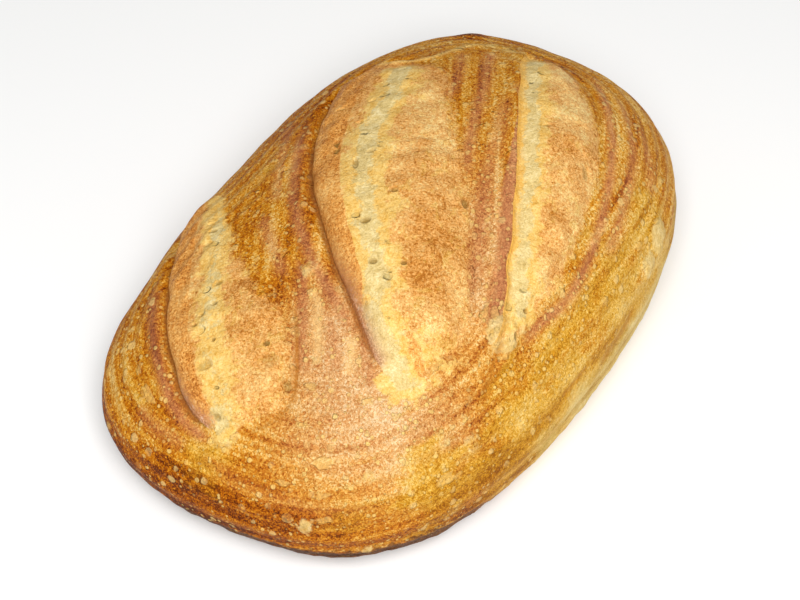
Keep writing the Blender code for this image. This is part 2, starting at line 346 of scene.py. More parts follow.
BLISTERS = (             # place, radius and height of the larger blisters, which stay pale
    (-0.032, -0.081, 0.0062, 0.0024), (-0.023, -0.084, 0.0038, 0.0008),
    (-0.0560, 0.0050, 0.0034, 0.0008), (-0.151, -0.056, 0.0034, 0.0010),
    (-0.146, -0.088, 0.0030, 0.0008), (-0.116, -0.070, 0.0032, 0.0006),
    (-0.084, -0.087, 0.0034, 0.0007), (-0.076, -0.098, 0.0036, 0.0007),
    (-0.137, -0.005, 0.0044, 0.0007), (0.061, -0.113, 0.0036, 0.0013),
    (0.067, -0.112, 0.0028, 0.0010), (0.076, -0.108, 0.0046, 0.0014),
    (0.083, -0.106, 0.0036, 0.0012), (0.032, -0.115, 0.0040, 0.0005),
)
PORES = (                # place, half size across the slash and along it, and depth
    (-0.112, 0.019, 0.0034, 0.0024, 0.0011), (-0.101, 0.022, 0.0011, 0.0009, 0.0012),
    (-0.094, 0.034, 0.0013, 0.0009, 0.0014), (-0.087, 0.032, 0.0014, 0.0010, 0.0014),
    (-0.099, 0.034, 0.0014, 0.0008, 0.0012), (-0.078, 0.037, 0.0022, 0.0010, 0.0012),
    (-0.092, -0.001, 0.0013, 0.0012, 0.0020), (-0.103, -0.018, 0.0016, 0.0028, 0.0012),
    (-0.097, -0.006, 0.0036, 0.0030, 0.0009), (-0.061, 0.058, 0.0024, 0.0013, 0.0014),
    (-0.054, 0.061, 0.0020, 0.0011, 0.0013), (-0.050, 0.066, 0.0015, 0.0009, 0.0013),
    (-0.129, 0.003, 0.0022, 0.0016, 0.0009), (-0.042, -0.021, 0.0018, 0.0012, 0.0012),
    (-0.028, -0.007, 0.0022, 0.0015, 0.0020), (-0.036, -0.032, 0.0014, 0.0010, 0.0014),
    (-0.010, -0.009, 0.0018, 0.0012, 0.0012), (-0.004, 0.016, 0.0012, 0.0034, 0.0014),
    (0.005, 0.014, 0.0018, 0.0011, 0.0018), (0.001, 0.030, 0.0014, 0.0028, 0.0017),
    (0.005, 0.033, 0.0013, 0.0022, 0.0015), (0.020, 0.031, 0.0014, 0.0010, 0.0013),
    (0.026, 0.046, 0.0020, 0.0012, 0.0014), (0.035, 0.035, 0.0018, 0.0010, 0.0013),
    (0.062, 0.038, 0.0020, 0.0011, 0.0012), (0.005, -0.035, 0.0015, 0.0026, 0.0014),
    (0.063, -0.040, 0.0022, 0.0007, 0.0012), (0.056, -0.066, 0.0020, 0.0032, 0.0010),
    (-0.016, -0.083, 0.0012, 0.0010, 0.0016), (-0.028, -0.086, 0.0012, 0.0020, 0.0012),
    (0.113, -0.008, 0.0014, 0.0010, 0.0010),
)
PORE_TURN = math.radians(-53)
PORE_EDGE = 1.25         # a pore ends at this many half sizes
PORE_SLOPE = 0.6         # and its side slopes over this many
PORE_SHADE = 2.2         # how dark the painted shade in a pore is for its depth over its width
PORE_RIM = 1.8           # the mesh is finer out to this many half sizes
STRIPES = (              # streaks: points, half width, and depth of red, or of cream if negative
    (((-0.036, -0.077), (-0.026, -0.073), (-0.004, -0.061), (0.021, -0.046), (0.040, -0.036),
      (0.061, -0.023), (0.086, -0.010)), 0.0042, 1.25),
    (((-0.036, -0.064), (-0.013, -0.054), (0.012, -0.040), (0.042, -0.026), (0.076, -0.010)), 0.0036, 0.60),
    (((0.013, -0.030), (0.038, -0.016), (0.071, -0.001), (0.092, 0.010), (0.104, 0.014)), 0.0032, 0.80),
    (((0.050, 0.006), (0.071, 0.013), (0.094, 0.026)), 0.0030, 0.60),
    (((-0.030, -0.090), (-0.018, -0.091), (0.008, -0.094), (0.037, -0.088), (0.066, -0.076),
      (0.081, -0.068), (0.097, -0.057), (0.116, -0.041), (0.128, -0.028)), 0.0028, 0.95),
    (((0.033, -0.096), (0.049, -0.093), (0.078, -0.082), (0.094, -0.074), (0.109, -0.062),
      (0.123, -0.047)), 0.0032, 0.75),
    (((0.083, -0.093), (0.096, -0.086), (0.106, -0.076), (0.113, -0.066)), 0.0034, 0.60),
    (((-0.098, -0.024), (-0.087, -0.014), (-0.074, -0.006), (-0.060, 0.004), (-0.047, 0.014)), 0.0034, 0.80),
    (((-0.090, -0.035), (-0.077, -0.024), (-0.067, -0.016), (-0.056, -0.008)), 0.0030, 0.55),
    (((-0.086, -0.052), (-0.077, -0.041), (-0.070, -0.034), (-0.063, -0.025)), 0.0028, 0.65),
    (((-0.089, -0.024), (-0.076, -0.015), (-0.066, -0.008), (-0.056, 0.000)), 0.0024, -0.8),
    (((-0.088, -0.040), (-0.075, -0.032), (-0.067, -0.025), (-0.060, -0.018)), 0.0024, -0.8),
    (((-0.064, 0.011), (-0.056, 0.022), (-0.049, 0.032), (-0.039, 0.043)), 0.0032, 0.75),
    (((-0.041, 0.020), (-0.027, 0.032), (-0.011, 0.044), (0.008, 0.056)), 0.0030, 0.80),
    (((-0.033, 0.040), (-0.019, 0.050), (0.001, 0.063), (0.029, 0.083)), 0.0034, 0.60),
    (((-0.068, -0.098), (-0.090, -0.088), (-0.108, -0.074), (-0.122, -0.056), (-0.128, -0.036)),
     0.0030, 0.20),
    (((-0.100, -0.070), (-0.112, -0.056), (-0.120, -0.040), (-0.124, -0.026)), 0.0036, 0.20),
    (((-0.120, -0.086), (-0.136, -0.066), (-0.146, -0.044), (-0.150, -0.020), (-0.147, 0.010)),
     0.0036, 0.25),
    (((-0.146, 0.010), (-0.147, 0.030), (-0.142, 0.046)), 0.0040, 0.50),
    (((-0.072, -0.032), (-0.063, -0.016), (-0.050, 0.008), (-0.030, 0.032), (-0.004, 0.051),
      (0.024, 0.067)), 0.0030, 0.90),
    (((-0.140, -0.002), (-0.138, 0.018), (-0.127, 0.037), (-0.108, 0.058), (-0.082, 0.080)), 0.0032, 0.90),
)


def ring_places(x, y):
    """Distance in from the rim, and places for streaks that are long along the rim and thin across."""
    angle, plan, reach = skin_polar(x, y)
    inwards = (RIM_REACH - reach) * plan
    return inwards, np.stack((HALF_LENGTH * np.cos(angle), HALF_LENGTH * np.sin(angle), inwards), axis=1)


def uneven(points, size):
    """Smooth random values from -1 to 1, at places in space, with swells of the given size."""
    return np.array([noise.noise(Vector(point)) for point in points / size])


def lumps(sizes_and_heights, points):
    """The height of unevenness that is the sum of lumps of several sizes."""
    return sum(height * uneven(points, size) for size, height in sizes_and_heights)


def crust_relief(inwards, points):
    """The cane rings' ridges and the crust's lumps."""
    ridges = RING_HEIGHT * np.cos(inwards / RING_STEP * 2 * math.pi)
    return ridges * smooth_step((RING_REACH - inwards) / RING_FADE) + lumps(CRUST_LUMPS, points)


def blister_relief(x, y):
    relief = np.zeros(len(x))
    for blister_x, blister_y, radius, height in BLISTERS:
        gap = np.hypot(x - blister_x, y - blister_y) / radius
        relief += height * smooth_step((BLISTER_EDGE - gap) / BLISTER_SLOPE)
    return relief


def foot_relief(reach, points):
    """The rough, lumpy edge where the wall meets the sole."""
    window = smooth_step((reach - FOOT_TOP) / FOOT_RUN) * smooth_step((FOOT_BOTTOM - reach) / FOOT_END)
    return window * lumps(FOOT_LUMPS, points)


def pore_gap(pore, x, y):
    """Distance from a pore's middle as a multiple of its half sizes."""
    pore_x, pore_y, across, along, _ = pore
    run = (x - pore_x) * math.cos(PORE_TURN) + (y - pore_y) * math.sin(PORE_TURN)
    side = (y - pore_y) * math.cos(PORE_TURN) - (x - pore_x) * math.sin(PORE_TURN)
    return np.hypot(run / across, side / along)


def pore_relief(x, y):
    """How deep the pores are at each place, and how dark the painted shade inside one is there, from 0 to 1.
    """
    relief = np.zeros(len(x))
    inside = np.zeros(len(x))
    for pore in PORES:
        _, _, across, along, depth = pore
        hollow = smooth_step((PORE_EDGE - pore_gap(pore, x, y)) / PORE_SLOPE)
        relief -= depth * hollow
        inside = np.maximum(inside, hollow ** 2 * min(1.0, PORE_SHADE * depth / (across + along)))
    return relief, inside


LINE_MARGIN = 3          # a line is felt out to this many half widths
LINE_FADE = 0.15         # and fades over this share of its length at each end
STREAK_EDGE = 0.05       # below this strength a streak leaves an earlier one as it is
STREAK_TURN = math.radians(32)    # the way that the slashes and the streaks between them run
SEAMS = (                # thin folds: points, half width, and height, negative for a crease
    (((-0.132, -0.008), (-0.122, -0.018), (-0.110, -0.023), (-0.098, -0.019), (-0.086, -0.011),
      (-0.077, -0.004), (-0.070, 0.006)), 0.0010, -0.0006),
    (((0.062, 0.060), (0.068, 0.047), (0.080, 0.034), (0.096, 0.028), (0.108, 0.020), (0.114, 0.014)),
     0.0014, 0.0008),
    (((0.046, -0.121), (0.032, -0.123), (0.006, -0.124)), 0.0014, -0.0006),
    (((0.000, -0.120), (-0.025, -0.119)), 0.0012, -0.0005),
    (((-0.033, -0.082), (-0.044, -0.086), (-0.060, -0.092)), 0.0014, -0.0005),
)
HOT_SIDE = math.radians(168)      # the side of the loaf that faced the hot wall of the oven
HOT_SPREAD = math.radians(95)     # how far to either hand it was felt
HOT_BAKE = 0.36          # how much further the hot side's wall is baked
HOT_REACH = 1.12         # from this reach on
HOT_RUN = 0.22
COOL_SIDE = math.radians(-72)     # and the side that stayed pale
COOL_SPREAD = math.radians(62)
COOL_REACH = 1.20
COOL_RUN = 0.14
SIDE_FIRMNESS = 1.4      # how early a side reaches its full strength
CHAR_REACH = 1.52        # reach at which the foot turns dark
CHAR_HOT = 0.14          # how much higher that is on the hot side
CHAR_SIDE = 0.06         # and everywhere but on the cool side
CHAR_RUN = 0.12
BAKE_AREAS = (           # place, radius, and how much further than usual the crust is baked
    (-0.150, 0.000, 0.040, 0.10), (0.120, 0.037, 0.008, 0.50),
    (0.050, 0.070, 0.050, 0.08), (-0.090, -0.020, 0.028, -0.12),
    (-0.100, -0.055, 0.040, -0.08), (-0.140, 0.000, 0.014, -0.16),
    (0.075, -0.112, 0.026, -0.12), (0.045, -0.108, 0.022, -0.10),
    (-0.111, -0.089, 0.026, -0.12), (-0.145, -0.060, 0.024, -0.06),
    (-0.071, -0.106, 0.014, 0.28), (-0.095, -0.093, 0.012, 0.12),
    (-0.088, -0.064, 0.016, -0.10), (0.008, -0.012, 0.010, 0.22),
    (-0.011, -0.033, 0.013, 0.22), (-0.016, -0.049, 0.009, 0.14),
    (-0.035, -0.041, 0.010, 0.26), (-0.057, -0.067, 0.006, 0.26),
    (-0.034, -0.014, 0.010, -0.16), (0.021, 0.010, 0.016, -0.10),
    (-0.074, 0.021, 0.011, 0.24), (-0.047, 0.047, 0.010, 0.12),
    (-0.094, 0.000, 0.008, 0.10), (0.060, -0.048, 0.011, 0.24),
    (0.024, -0.066, 0.011, 0.18), (0.090, -0.038, 0.016, -0.12),
    (0.030, -0.062, 0.040, -0.06), (-0.085, 0.002, 0.028, 0.10),
    (-0.115, -0.070, 0.030, 0.04), (-0.150, 0.020, 0.030, 0.08),
    (0.010, 0.088, 0.050, 0.12), (-0.080, 0.095, 0.040, 0.08),
    (-0.015, 0.055, 0.034, -0.05), (0.100, -0.055, 0.040, -0.04),
)
GOLD_AREAS = (           # place, radius and strength of the yellower crust near the foot
    (-0.056, -0.112, 0.024, 0.8), (-0.100, -0.096, 0.022, 0.9),
    (-0.140, -0.070, 0.016, 0.6), (-0.010, -0.112, 0.026, 0.8),
    (0.035, -0.106, 0.022, 0.8), (0.075, -0.100, 0.020, 0.7),
    (-0.142, 0.002, 0.016, 0.7), (-0.128, 0.050, 0.020, 0.4),
    (0.110, 0.010, 0.030, 0.4), (-0.010, 0.060, 0.014, 0.4),
)
PAINTED_SHEEN_AREAS = (          # place, radius and strength of a painted sheen: a rosy, paler tan where the crust faces the lamp
    (-0.103, -0.048, 0.033, 1.0), (-0.078, -0.028, 0.024, 0.9),
    (-0.085, -0.080, 0.026, 0.8), (-0.025, -0.060, 0.026, 1.0),
    (0.010, -0.046, 0.022, 0.8), (-0.068, -0.010, 0.014, 0.6),
)


def line_glow(line, width, x, y):
    """Places close to a line, and how strongly it is felt there."""
    some = np.flatnonzero(is_near(line, x, y, LINE_MARGIN * width))
    gap, along, _, _, _ = from_line(line, x[some], y[some])
    fade = smooth_step(along / LINE_FADE) * smooth_step((1 - along) / LINE_FADE)
    return some, np.exp(-(gap / width) ** 2) * fade


def bake_stripes(x, y):
    """How red the streaks are, up to 1, or how pale, down to -1."""
    dark = np.zeros(len(x))
    for points, width, depth in STRIPES:
        some, glow = line_glow(curve_through(points), width, x, y)
        dark[some] = np.where(glow > STREAK_EDGE, depth * glow, dark[some])
    return dark


def seam_relief(x, y):
    """How far the thin folds stand out, in metres."""
    relief = np.zeros(len(x))
    for points, width, height in SEAMS:
        some, glow = line_glow(curve_through(points), width, x, y)
        relief[some] += height * glow
    return relief


def sum_of_areas(areas, x, y):
    """The sum of round areas that fade outwards, each given as its place, radius and amount."""
    total = np.zeros(len(x))
    for area_x, area_y, radius, amount in areas:
        total += amount * np.exp(-((x - area_x) ** 2 + (y - area_y) ** 2) / radius ** 2)
    return total


def side_share(angle, side, spread):
    """1 in the middle of one side of the loaf, and 0 beyond the spread to either hand."""
    share = (np.cos(angle - side) - math.cos(spread)) / (1 - math.cos(spread))
    return smooth_step(share * SIDE_FIRMNESS)


def bake_levels(x, y):
    """How much further the crust is baked, how far its side stayed pale, and how dark its foot is."""
    angle, _, reach = skin_polar(x, y)
    hot = side_share(angle, HOT_SIDE, HOT_SPREAD)
    cool = side_share(angle, COOL_SIDE, COOL_SPREAD)
    bake = sum_of_areas(BAKE_AREAS, x, y) + HOT_BAKE * hot * smooth_step((reach - HOT_REACH) / HOT_RUN)
    side = cool * smooth_step((reach - COOL_REACH) / COOL_RUN)
    char_start = CHAR_REACH - CHAR_HOT * hot - CHAR_SIDE * (1 - cool)
    return bake, side, smooth_step((reach - char_start) / CHAR_RUN)


# --------------------------------------
# The loaf
# One whole piece of bread. Its mesh is a cube of even quads, finer on the crust and finest on the
# blooms, that is laid over the form; its masks say where each kind of crust is.

BASE_CUTS = 23           # cuts of each of the cube's edges, before the finer parts
CRUST_ANGLE = math.radians(149)   # the mesh is finer above this angle on the ball, at the foot
WALL_ANGLE = math.radians(140)    # and finer again above this one
SWELL_END = 1.5          # reach at which the broad swells begin to fade
SWELL_RUN = 0.18
INNER_REACH = 0.62       # streaks run with the slashes within this reach
INNER_RUN = 0.22         # and turn to follow the rim over this much more


def read_vectors(items, name):
    flat = np.empty(len(items) * 3)
    items.foreach_get(name, flat)
    return flat.reshape(-1, 3)


def even_directions(places):
    """Directions from the cube's middle, warped so that its quads look equal from there."""
    return np.tan(places * math.pi / 4)


def is_above(angle):
    """A test for directions from the ball's middle that are within an angle from straight up."""
    return lambda direction: tilt_of(direction) < angle


def is_on_bloom(direction):
    x, y = ball_to_skin(direction)
    chosen = np.zeros(len(x), dtype=bool)
    for slash in SLASHES:
        some = np.flatnonzero(is_near(slash["tear"], x, y, SLASH_MARGIN) | is_near(slash["soft"], x, y, 0))
        torn = from_line(slash["tear"], x[some], y[some])[0]
        chosen[some] |= is_between(slash["tear"], slash["soft"], x[some], y[some]) | (torn < GATHER_REACH)
    return chosen


def is_at_pore(direction):
    x, y = ball_to_skin(direction)
    chosen = np.zeros(len(x), dtype=bool)
    for pore in PORES:
        chosen |= pore_gap(pore, x, y) < PORE_RIM
    return chosen


def cube_of_quads():
    bpy.ops.object.select_all(action="DESELECT")
    bpy.ops.mesh.primitive_cube_add(size=2.0)
    cube = bpy.context.active_object
    bpy.ops.object.mode_set(mode="EDIT")
    bpy.ops.mesh.select_mode(type="FACE")
    bpy.ops.mesh.select_all(action="SELECT")
    bpy.ops.mesh.subdivide(number_cuts=BASE_CUTS)
    for is_finer in (is_above(CRUST_ANGLE), is_above(WALL_ANGLE), is_on_bloom, is_at_pore):
        bpy.ops.mesh.select_all(action="DESELECT")
        bpy.ops.object.mode_set(mode="OBJECT")
        middles = read_vectors(cube.data.polygons, "center")
        cube.data.polygons.foreach_set("select", is_finer(even_directions(middles)))
        bpy.ops.object.mode_set(mode="EDIT")
        bpy.ops.mesh.subdivide(number_cuts=1, ngon=False)
    bpy.ops.object.mode_set(mode="OBJECT")
    return cube


def add_attribute(mesh, name, values):
    kind, key = ("FLOAT_VECTOR", "vector") if values.ndim == 2 else ("FLOAT", "value")
    mesh.attributes.new(name, kind, "POINT").data.foreach_set(key, values.astype(np.float32).ravel())


def make_loaf():
    loaf = cube_of_quads()
    loaf.name = "sourdough_loaf"
    mesh = loaf.data
    x, y = gather_to_tears(*ball_to_skin(even_directions(read_vectors(mesh.vertices, "co"))))
    plain = skin_to_loaf(x, y)
    inwards, ring = ring_places(x, y)
    masks = {name: np.zeros(len(x)) for name in ("bloom", "pale", "crease", "face", "roll", "lip")}
    relief = np.zeros(len(x))
    shift_x = np.zeros(len(x))
    shift_y = np.zeros(len(x))
    for slash in SLASHES:
        both = np.vstack((slash["tear"], slash["soft"]))
        some = np.flatnonzero(is_near(both, x, y, SLASH_MARGIN))
        out, aside_x, aside_y, parts = open_slash(slash, x[some], y[some])
        relief[some] += out
        shift_x[some] += aside_x
        shift_y[some] += aside_y
        for name in masks:
            masks[name][some] = np.maximum(masks[name][some], parts[name])
    relief += crust_relief(inwards, plain)
    relief += LUMP_HEIGHT * masks["bloom"] * uneven(plain, LUMP_SIZE)
    # the pore mask is painted shade, darker in deep, narrow pores
    pits, masks["pore"] = pore_relief(x, y)
    blisters = blister_relief(x, y)
    seams = seam_relief(x, y)
    relief += pits + blisters + seams
    _, _, reach = skin_polar(x, y)
    relief *= 1 - smooth_step((reach - RIM_REACH) / (SOLE_EDGE_REACH - RIM_REACH))
    relief += sum_of_areas(SWELLS, x, y) * (1 - smooth_step((reach - SWELL_END) / SWELL_RUN))
    relief += foot_relief(reach, plain)
    points = skin_to_loaf(x + shift_x, y + shift_y)
    points += outward_normals(x + shift_x, y + shift_y) * relief[:, None]
    middle = (plain.max(axis=0) + plain.min(axis=0)) / 2
    points -= (middle[0], middle[1], 0.0)
    points[:, 2] = np.maximum(points[:, 2], 0.0)
    mesh.vertices.foreach_set("co", points.ravel())
    masks["stripe"] = bake_stripes(x, y)
    masks["bake"], masks["side"], masks["foot"] = bake_levels(x, y)
    # strength of the painted sheen at each place
    masks["flush"] = sum_of_areas(PAINTED_SHEEN_AREAS, x, y)
    masks["gold"] = sum_of_areas(GOLD_AREAS, x, y)
    masks["blister"] = blisters / BLISTER_HEIGHT
    masks["seam"] = seams / SEAM_HEIGHT
    masks["inner"] = 1 - smooth_step((reach - INNER_REACH) / INNER_RUN)
    masks["streak"] = np.stack((x * math.cos(STREAK_TURN) + y * math.sin(STREAK_TURN),
                                y * math.cos(STREAK_TURN) - x * math.sin(STREAK_TURN), reach), axis=1)
    masks["ring"] = ring
    for name, values in masks.items():
        add_attribute(mesh, name, values)
    mesh.shade_smooth()
    mesh.update()
    return loaf


loaf = make_loaf()
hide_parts("loaf")
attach(loaf, "root")


# --------------------------------------
# The crust's finish
# Golden to red-brown, nearly matt skin with pale specks where small blisters thinned it, partly painted
# glints;
# blooms of pale crumb that browned towards their edges; a side that the heat hardly reached; a dark sole.

SHADE_SHIFT = (-0.0004, 0.0005, 0.0)     # how far the lit part of a hollow is moved, leaving a crescent of painted shade


class Wire:
    """A socket of a material. Arithmetic on it adds Math nodes, and make() adds any other node."""

    def __init__(self, socket):
        self.socket = socket

    def make(self, kind, settings, sockets, output=0):
        tree = self.socket.id_data
        node = tree.nodes.new(kind)
        for name, value in settings.items():
            if name == "stops":
                set_stops(node.color_ramp, value)
            else:
                setattr(node, name, value)
        for name, value in sockets.items():
            if isinstance(value, Wire):
                tree.links.new(value.socket, node.inputs[name])
            else:
                node.inputs[name].default_value = value
        return Wire(node.outputs[output])

    def maths(self, operation, *values):
        return self.make("ShaderNodeMath", {"operation": operation}, dict(enumerate(values)))

    def __add__(self, other):
        return self.maths("ADD", self, other)

    def __radd__(self, other):
        return self.maths("ADD", other, self)

    def __sub__(self, other):
        return self.maths("SUBTRACT", self, other)

    def __rsub__(self, other):
        return self.maths("SUBTRACT", other, self)

    def __mul__(self, other):
        return self.maths("MULTIPLY", self, other)

    def __rmul__(self, other):
        return self.maths("MULTIPLY", other, self)


def set_stops(ramp, stops):
    """Puts colours on a ramp that starts with two elements."""
    while len(ramp.elements) < len(stops):
        ramp.elements.new(0.5)
    for element, (position, colour) in zip(ramp.elements, stops):
        element.position = position
        element.color = (*colour, 1.0)


def step_between(wire, low, high):
    """0 below low, 1 above high, and smooth between."""
    return wire.make("ShaderNodeMapRange", {"interpolation_type": "SMOOTHSTEP"},
                     {"Value": wire, "From Min": low, "From Max": high})


def mottle(places, size, detail=2.0, roughness=0.5, distortion=0.0):
    """Cloudy values about 0.5, with patches of the given size."""
    return places.make("ShaderNodeTexNoise", {}, {"Vector": places, "Scale": 1 / size, "Detail": detail,
                                                  "Roughness": roughness, "Distortion": distortion}, "Fac")


def jitter(places, size, amount):
    """The same places, pushed about by clouds of the given size, so that round spots turn ragged."""
    clouds = places.make("ShaderNodeTexNoise", {}, {"Vector": places, "Scale": 1 / size}, "Color")
    return places.make("ShaderNodeVectorMath", {"operation": "MULTIPLY_ADD"},
                       {0: clouds, 1: (amount, amount, amount), 2: places}, "Vector")


def spots(places, spacing, share, softness=0.06):
    """1 in round spots of many sizes, 0 around them; the share sets how many there are."""
    gap = places.make("ShaderNodeTexVoronoi", {}, {"Vector": places, "Scale": 1 / spacing}, "Distance")
    size = Wire(gap.socket.node.outputs["Color"])
    return step_between(1.1 * (size - (1 - share)) - gap, -softness, softness)


def hollows(places, spacing, share):
    """Round hollows, and the crescents of painted shade within them."""
    moved = places.make("ShaderNodeVectorMath", {"operation": "ADD"}, {0: places, 1: SHADE_SHIFT}, "Vector")
    hollow = spots(places, spacing, share)
    return hollow, hollow * (1 - 0.9 * spots(moved, spacing, share))


def wrinkles(places, size, width):
    """1 on thin lines that wander in closed loops, 0 between them."""
    level = mottle(places, size, 3.0, 0.6, 1.2) - 0.5
    return 1 - step_between(level.maths("ABSOLUTE", level), 0.0, width)


def stretch(places, sizes):
    """Places divided by a different size along each way, for patterns longer one way."""
    return places.make("ShaderNodeVectorMath", {"operation": "DIVIDE"}, {0: places, 1: sizes}, "Vector")


def blend(factor, first, second):
    """The first colour where the factor is 0, the second where it is 1."""
    return factor.make("ShaderNodeMix", {"data_type": "RGBA"}, {0: factor, 6: first, 7: second}, 2)


def colours(value, stops):
    return value.make("ShaderNodeValToRGB", {"stops": stops}, {"Fac": value}, "Color")


crust = bpy.data.materials.new("sourdough_crust")
crust.use_nodes = True
shader = crust.node_tree.nodes["Principled BSDF"]
place = Wire(crust.node_tree.nodes.new("ShaderNodeTexCoord").outputs["Object"])


def mask(name, output="Fac"):
    return place.make("ShaderNodeAttribute", {"attribute_name": name}, {}, output)


bloom, pale, face, roll, stripe = (mask(name) for name in ("bloom", "pale", "face", "roll", "stripe"))
bake, side, flush, inner, seam = (mask(name) for name in ("bake", "side", "flush", "inner", "seam"))
ring, streak = (mask(name, "Vector") for name in ("ring", "streak"))

# patterns that run all over, from a millimetre up
GRAIN_SIZE = 0.0009
GRIT_SIZE = 0.0030
CLOUD_SIZE = 0.018
FIBRE_SIZES = (0.0009, 0.0024, 1.0)
WRINKLE_SIZE = 0.0018
WRINKLE_WIDTH = 0.045
grain = mottle(place, GRAIN_SIZE, 2.0, 0.7, 0.8)
grit = mottle(place, GRIT_SIZE, 2.0, 0.6, 0.5)
clouds = mottle(place, CLOUD_SIZE, 3.0, 0.6)
fibres = mottle(stretch(streak, FIBRE_SIZES), 1.0, 2.0, 0.65, 0.8)
wrinkle = wrinkles(place, WRINKLE_SIZE, WRINKLE_WIDTH)

# how far the old crust is baked: 0 pale gold, 1 nearly black; the numbers weigh the patterns
MEAN_BAKE = 0.42
RING_STREAKS = (0.080, 0.080, 0.0036)
STRIP_STREAKS = (0.070, 0.0036, 1.0)
ring_streaks = mottle(stretch(ring, RING_STREAKS), 1.0, 3.0, 0.5)
strip_streaks = mottle(stretch(streak, STRIP_STREAKS), 1.0, 3.0, 0.5)
streaks = ring_streaks + inner * (strip_streaks - ring_streaks)
baked = MEAN_BAKE + bake + (1.35 - 0.70 * flush) * (streaks - 0.5) + (0.55 + 0.5 * side) * (clouds - 0.5)
baked = baked + 0.50 * (grit - 0.5) + (1.85 - 0.5 * side) * (grain - 0.5)
baked = baked + 0.08 * stripe + 0.04 * side + 0.08 * wrinkle
crust_colour = colours(baked, (
    (0.00, (0.93, 0.65, 0.24)), (0.18, (0.83, 0.46, 0.090)),
    (0.36, (0.71, 0.310, 0.022)), (0.54, (0.58, 0.195, 0.004)),
    (0.72, (0.45, 0.115, 0.001)), (0.88, (0.28, 0.055, 0.001)),
    (1.00, (0.11, 0.020, 0.001)),
))
# painted sheen: a rosy, paler copy of the crust's colours for where the crust faces the lamp
painted_sheen_colour = colours(baked, (
    (0.00, (0.89, 0.63, 0.35)), (0.30, (0.75, 0.405, 0.155)),
    (0.55, (0.60, 0.258, 0.078)), (0.80, (0.44, 0.140, 0.037)),
    (1.00, (0.22, 0.055, 0.015)),
))
gold_colour = colours(baked, (
    (0.00, (0.91, 0.62, 0.20)), (0.30, (0.78, 0.45, 0.070)),
    (0.60, (0.63, 0.295, 0.016)), (1.00, (0.33, 0.105, 0.002)),
))
cream_colour = colours(baked, (
    (0.00, (0.90, 0.72, 0.33)), (0.40, (0.76, 0.54, 0.160)),
    (0.70, (0.64, 0.39, 0.065)), (1.00, (0.40, 0.19, 0.015)),
))
red_colour = colours(baked, (
    (0.0, (0.74, 0.36, 0.140)), (0.5, (0.56, 0.215, 0.080)),
    (1.0, (0.32, 0.085, 0.034)),
))
GOLD_PATCHES = (0.024, 0.024, 0.008)
CREAM_PATCHES = (0.030, 0.030, 0.010)
RED_PATCHES = 0.005
STRAW_PATCHES = 0.004
STRAW = (0.88, 0.54, 0.20, 1.0)
gold_patches = mottle(stretch(ring, GOLD_PATCHES), 1.0, 3.0, 0.65)
cream_patches = mottle(stretch(ring, CREAM_PATCHES), 1.0, 3.0, 0.6)
gilded = step_between(side + mask("gold") + 1.7 * (gold_patches - 0.5), 0.20, 0.80)
creamy = step_between(side + 1.3 * (cream_patches - 0.5), 0.55, 1.05)
reddened = stripe * (0.50 + 0.9 * mottle(place, RED_PATCHES, 3.0))
strawed = (0 - stripe) * (0.5 + mottle(place, STRAW_PATCHES, 3.0))
# mixes in the painted sheen
crust_colour = blend(0.75 * flush, crust_colour, painted_sheen_colour)
crust_colour = blend(0.9 * gilded, crust_colour, gold_colour)
crust_colour = blend(0.75 * creamy, crust_colour, cream_colour)
crust_colour = blend(0.92 * reddened, crust_colour, red_colour)
crust_colour = blend(0.80 * strawed, crust_colour, STRAW)

# pale specks, beads and flecks, where the skin rose in small blisters; in part they are painted glints on
# them
CROWD_SIZE = 0.012
SPECK_SPACING = 0.0021
BEAD_SPACING = 0.0044
FLECK_SPACING = 0.0072
BLISTER_SPECKLE = 0.0035
SPECK_CREAM_AND_GLINT = (0.93, 0.62, 0.19, 1.0)
BEAD_CREAM_AND_GLINT = (0.92, 0.63, 0.23, 1.0)
FLECK_CREAM_AND_GLINT = (0.89, 0.57, 0.17, 1.0)
along_ring = stretch(ring, (2.0, 2.0, 1.0))
crowd = step_between(mottle(place, CROWD_SIZE), 0.34, 0.58) * (1 - 0.3 * inner)
speck_and_glint = spots(place, SPECK_SPACING, 0.56) * (0.25 + 0.75 * crowd)
bead_and_glint = spots(jitter(place, 0.0020, 0.0016), BEAD_SPACING, 0.50) * (0.15 + 0.85 * crowd) * (1 - 0.6 * side)
fleck_and_glint = spots(jitter(along_ring, 0.0024, 0.0034), FLECK_SPACING, 0.44)
raised = step_between(mask("blister") + 1.8 * (mottle(place, BLISTER_SPECKLE, 3.0, 0.7) - 0.5), 0.25, 0.85)
# cream blister colour and painted highlight together: the dots also stand for glints
crust_colour = blend(0.72 * speck_and_glint, crust_colour, SPECK_CREAM_AND_GLINT)
crust_colour = blend(0.62 * bead_and_glint, crust_colour, BEAD_CREAM_AND_GLINT)
crust_colour = blend(0.50 * fleck_and_glint * (0.4 + grit) * (1 - inner), crust_colour, FLECK_CREAM_AND_GLINT)
crust_colour = blend(0.78 * raised, crust_colour, colours(grit, (
    (0.30, (0.94, 0.73, 0.34)), (0.70, (0.74, 0.48, 0.13)),
)))

